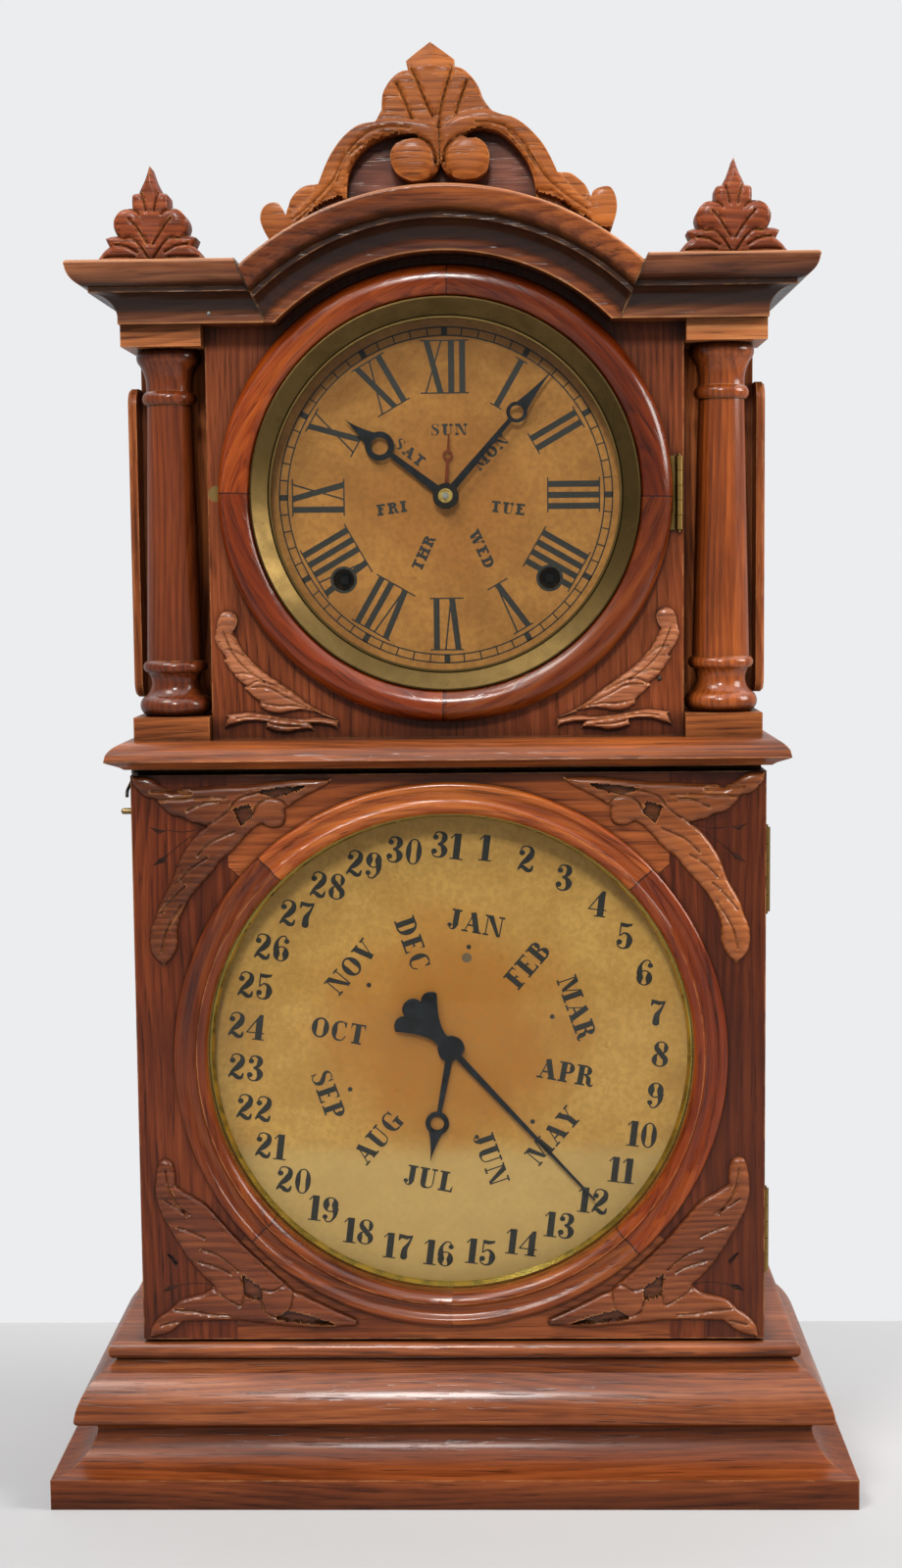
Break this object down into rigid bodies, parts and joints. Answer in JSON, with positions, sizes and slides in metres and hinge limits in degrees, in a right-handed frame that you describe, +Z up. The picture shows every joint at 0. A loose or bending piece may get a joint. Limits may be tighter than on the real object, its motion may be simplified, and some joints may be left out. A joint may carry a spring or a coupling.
{
  "type": "double dial calendar shelf clock",
  "caption": "Walnut shelf clock with a time dial above a calendar dial, two hinged round-glass doors, columns, a carved arched cornice, pendulum and striking movement.",
  "frame": {"origin": "on the floor, under the middle of the clock's bounding box", "axes": "+X to the right of someone facing the dials, +Z up, front towards -Y"},
  "size_m": [0.412, 0.165, 0.7349],
  "materials": {
    "walnut": "satin varnish over walnut",
    "cherry": "satin varnish over cherry",
    "pine": "bare softwood, toned by age",
    "paper": "aged varnished paper on sheet zinc",
    "glass": "clear sheet glass",
    "brass": "dull lacquered brass",
    "steel": "darkened steel",
    "iron": "plain iron"
  },
  "bodies": {
    "case": {"base_plinth": "walnut", "base_ogee": "walnut", "base_top_board": "walnut", "lower_sides": "walnut", "side_panels": "walnut", "waist_board": "walnut", "upper_sides": "walnut", "upper_front_board": "walnut", "column_plinths": "walnut", "abacus_blocks": "walnut", "column_left": "walnut", "column_right": "walnut", "head_board": "walnut", "cornice_left": "walnut", "cornice_right": "walnut", "cornice_arch": "walnut", "finials": "walnut", "crest": "cherry", "leaf_carvings": "cherry", "base_frame": "pine", "lower_back_board": "pine", "upper_back_board": "pine", "roof_board": "pine", "crest_backboard": "pine", "calendar_dial_board": "pine", "time_dial": "paper", "calendar_dial": "paper", "time_catch": "brass", "case_hinge_leaves": "brass", "movement_front_plate": "brass", "movement_back_plate": "brass", "calendar_plate": "brass", "screws": "steel", "gong": "steel"},
    "time_door": {"time_door_ring": "cherry", "time_bezel": "brass", "time_glass": "glass", "time_hinge_leaf": "brass"},
    "calendar_door_body": {"calendar_door": "walnut", "calendar_door_ring": "cherry", "calendar_sight_ring": "brass", "calendar_glass": "glass", "calendar_hinge_leaves": "brass", "hook_pin": "brass"},
    "hook": {"door_hook": "steel"},
    "minute_body": {"centre_arbor": "brass", "minute_hand": "steel"},
    "motion_body": {"motion_wheel": "brass"},
    "hour_body": {"hour_wheel": "brass", "hour_hand": "steel"},
    "weekday_body": {"weekday_hand": "brass"},
    "date_body": {"date_hand": "steel"},
    "month_body": {"month_hand": "steel"},
    "time_winding_body": {"time_winding_arbor": "brass"},
    "strike_winding_body": {"strike_winding_arbor": "brass"},
    "escape_body": {"escape_wheel": "brass"},
    "verge_body": {"verge": "steel"},
    "pendulum_body": {"pendulum": "iron"},
    "hammer_body": {"hammer": "steel"},
    "lift_body": {"lifting_rod": "steel"}
  },
  "joints": [
    {"name": "time_door_hinge", "type": "hinge", "parent": "case", "child": "time_door", "pos_m": [0.118, -0.0408, 0.5145], "axis": [0, 0, 1], "range_deg": [0, 105]},
    {"name": "calendar_door_hinge", "type": "hinge", "parent": "case", "child": "calendar_door_body", "pos_m": [0.1633, -0.0355, 0.227], "axis": [0, 0, 1], "range_deg": [0, 105]},
    {"name": "hook_pivot", "type": "hinge", "parent": "case", "child": "hook", "pos_m": [-0.163, -0.0225, 0.374], "axis": [1, 0, 0], "range_deg": [-12, 20.6]},
    {"name": "minute_hand_turn", "type": "hinge", "parent": "case", "child": "minute_body", "pos_m": [0, -0.0323, 0.5145], "axis": [0, 1, 0], "continuous": true},
    {"name": "motion_wheel_turn", "type": "hinge", "parent": "case", "child": "motion_body", "pos_m": [0.01559, -0.0179, 0.5055], "axis": [0, 1, 0], "continuous": true},
    {"name": "hour_hand_turn", "type": "hinge", "parent": "case", "child": "hour_body", "pos_m": [0, -0.0301, 0.5145], "axis": [0, 1, 0], "continuous": true},
    {"name": "weekday_hand_turn", "type": "hinge", "parent": "case", "child": "weekday_body", "pos_m": [0, -0.0281, 0.5145], "axis": [0, 1, 0], "continuous": true},
    {"name": "date_hand_turn", "type": "hinge", "parent": "case", "child": "date_body", "pos_m": [0, -0.0369, 0.2287], "axis": [0, 1, 0], "continuous": true},
    {"name": "month_hand_turn", "type": "hinge", "parent": "case", "child": "month_body", "pos_m": [0, -0.0345, 0.2287], "axis": [0, 1, 0], "continuous": true},
    {"name": "time_winding_turn", "type": "hinge", "parent": "case", "child": "time_winding_body", "pos_m": [0.0529, -0.0225, 0.4723], "axis": [0, 1, 0], "continuous": true},
    {"name": "strike_winding_turn", "type": "hinge", "parent": "case", "child": "strike_winding_body", "pos_m": [-0.0529, -0.0225, 0.4723], "axis": [0, 1, 0], "continuous": true},
    {"name": "escape_wheel_turn", "type": "hinge", "parent": "case", "child": "escape_body", "pos_m": [0, 0.0155, 0.549], "axis": [0, 1, 0], "continuous": true},
    {"name": "pendulum_swing", "type": "hinge", "parent": "case", "child": "pendulum_body", "pos_m": [0, 0.0375, 0.57], "axis": [0, 1, 0], "range_deg": [-4, 4]},
    {"name": "verge_rock", "type": "hinge", "parent": "case", "child": "verge_body", "pos_m": [0, 0.0155, 0.57], "axis": [0, 1, 0], "range_deg": [-4, 4]},
    {"name": "hammer_pivot", "type": "hinge", "parent": "case", "child": "hammer_body", "pos_m": [-0.038, 0.0275, 0.5], "axis": [0, 1, 0], "range_deg": [-3, 15]},
    {"name": "lifting_rod_slide", "type": "slide", "parent": "case", "child": "lift_body", "axis": [0, 0, 1], "range_m": [0, 0.006]}
  ],
  "couplings": [
    {"joint": "motion_wheel_turn", "follows": "minute_hand_turn", "ratio": -0.33333},
    {"joint": "hour_hand_turn", "follows": "minute_hand_turn", "ratio": 0.083333},
    {"joint": "month_hand_turn", "follows": "date_hand_turn", "ratio": 0.083333},
    {"joint": "verge_rock", "follows": "pendulum_swing", "ratio": 1}
  ]
}
